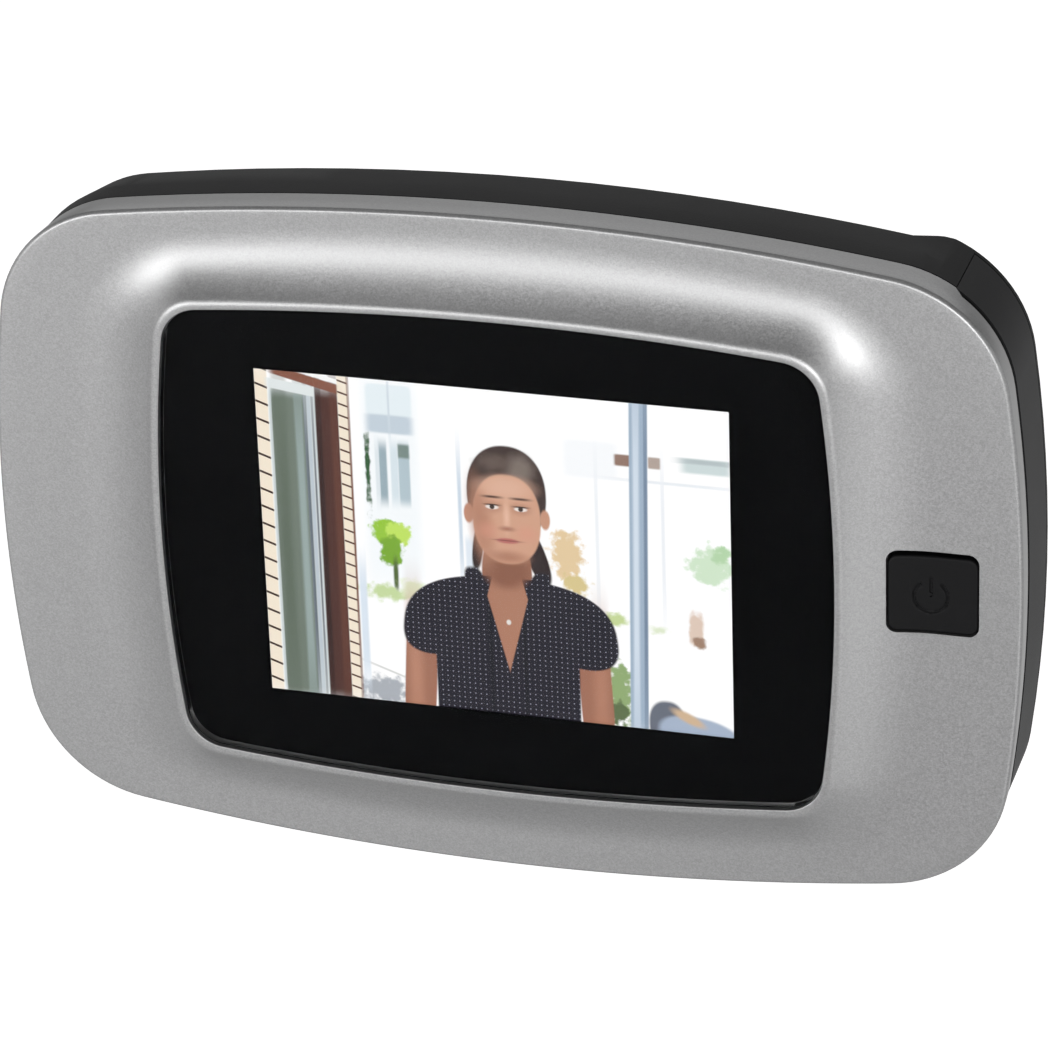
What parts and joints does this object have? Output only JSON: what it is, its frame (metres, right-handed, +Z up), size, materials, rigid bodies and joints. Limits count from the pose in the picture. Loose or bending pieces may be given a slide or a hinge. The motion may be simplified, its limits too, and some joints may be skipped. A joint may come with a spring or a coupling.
{
  "type": "peephole door camera",
  "caption": "Digital door viewer: battery-powered indoor monitor with a colour screen and power button, hung on a plate that a camera barrel and sleeve nut clamp to the door.",
  "frame": {"origin": "on the camera barrel's axis at the door's inner face, where the mounting plate rests", "axes": "+X to the right and +Z up for somebody who looks at the screen; +Y through the door to the outside"},
  "size_m": [0.1256, 0.0661, 0.0852],
  "materials": {
    "silver_paint": "satin silver metallic paint on moulded plastic",
    "clear_pane": "clear polished acrylic with a black printed border",
    "black_tape": "matt black adhesive tape",
    "display_glass": "liquid crystal cell under a polariser film",
    "tray_steel": "pressed thin steel",
    "guide_plastic": "white light guide",
    "black_plastic": "finely textured black plastic",
    "cover_plastic": "finely textured dark grey plastic",
    "button_black": "soft matt black plastic",
    "switch_black": "plain black plastic",
    "plate_plastic": "plain black plastic",
    "screw_steel": "zinc plated steel",
    "flex_amber": "amber polyimide film",
    "board_green": "green solder mask on glass fibre board",
    "chip_black": "moulded epoxy",
    "connector_ivory": "ivory nylon",
    "cell_jacket": "plain printed sleeve on a steel can",
    "contact_nickel": "nickel plated spring steel",
    "nickel_brass": "satin nickel plated brass",
    "seal_rubber": "black foam rubber",
    "lens_glass": "coated optical glass"
  },
  "bodies": {
    "door_plate": {"mounting_plate": "plate_plastic"},
    "nut": {"sleeve_nut": "nickel_brass"},
    "camera": {"camera_barrel": "nickel_brass", "barrel_seal": "seal_rubber", "lens_dome": "lens_glass", "lens_holder": "switch_black", "inner_lens": "lens_glass", "image_sensor": "chip_black", "camera_board": "board_green", "camera_ribbon": "flex_amber", "ribbon_plug": "connector_ivory"},
    "monitor": {"front_bezel": "silver_paint", "window_pane": "clear_pane", "pane_tape": "black_tape", "display_glass": "display_glass", "backlight_tray": "tray_steel", "backlight_guide": "guide_plastic", "display_carrier": "black_plastic", "carrier_screws": "screw_steel", "display_flex": "flex_amber", "main_board": "board_green", "board_screws": "screw_steel", "image_processor": "chip_black", "memory_chip": "chip_black", "power_coils": "chip_black", "camera_socket": "connector_ivory", "button_switch": "switch_black", "button_board": "board_green", "button_board_screws": "screw_steel", "button_flex": "flex_amber", "rear_housing": "black_plastic", "housing_screws": "screw_steel", "battery_holder": "black_plastic", "battery_cell_1": "cell_jacket", "battery_cell_2": "cell_jacket", "battery_cell_3": "cell_jacket", "battery_cell_4": "cell_jacket", "battery_springs": "contact_nickel"},
    "cover": {"battery_cover": "cover_plastic", "cover_contacts": "contact_nickel"},
    "button": {"power_button": "button_black", "switch_plunger": "switch_black"}
  },
  "joints": [
    {"name": "nut_turn", "type": "hinge", "parent": "door_plate", "child": "nut", "pos_m": [0, 0, 0], "axis": [0, -1, 0], "range_deg": [0, 1080]},
    {"name": "camera_travel", "type": "slide", "parent": "door_plate", "child": "camera", "axis": [0, 1, 0], "range_m": [0, 0.003]},
    {"name": "monitor_lift", "type": "slide", "parent": "door_plate", "child": "monitor", "axis": [0, 0, 1], "range_m": [0, 0.0043]},
    {"name": "cover_slide", "type": "slide", "parent": "monitor", "child": "cover", "axis": [1, 0, 0], "range_m": [0, 0.014]},
    {"name": "button_press", "type": "slide", "parent": "monitor", "child": "button", "axis": [0, 1, 0], "range_m": [0, 0.0005], "stiffness_N_per_m": 600}
  ],
  "couplings": [
    {"joint": "nut_turn", "follows": "camera_travel", "rad_per_m": 6283.2}
  ]
}
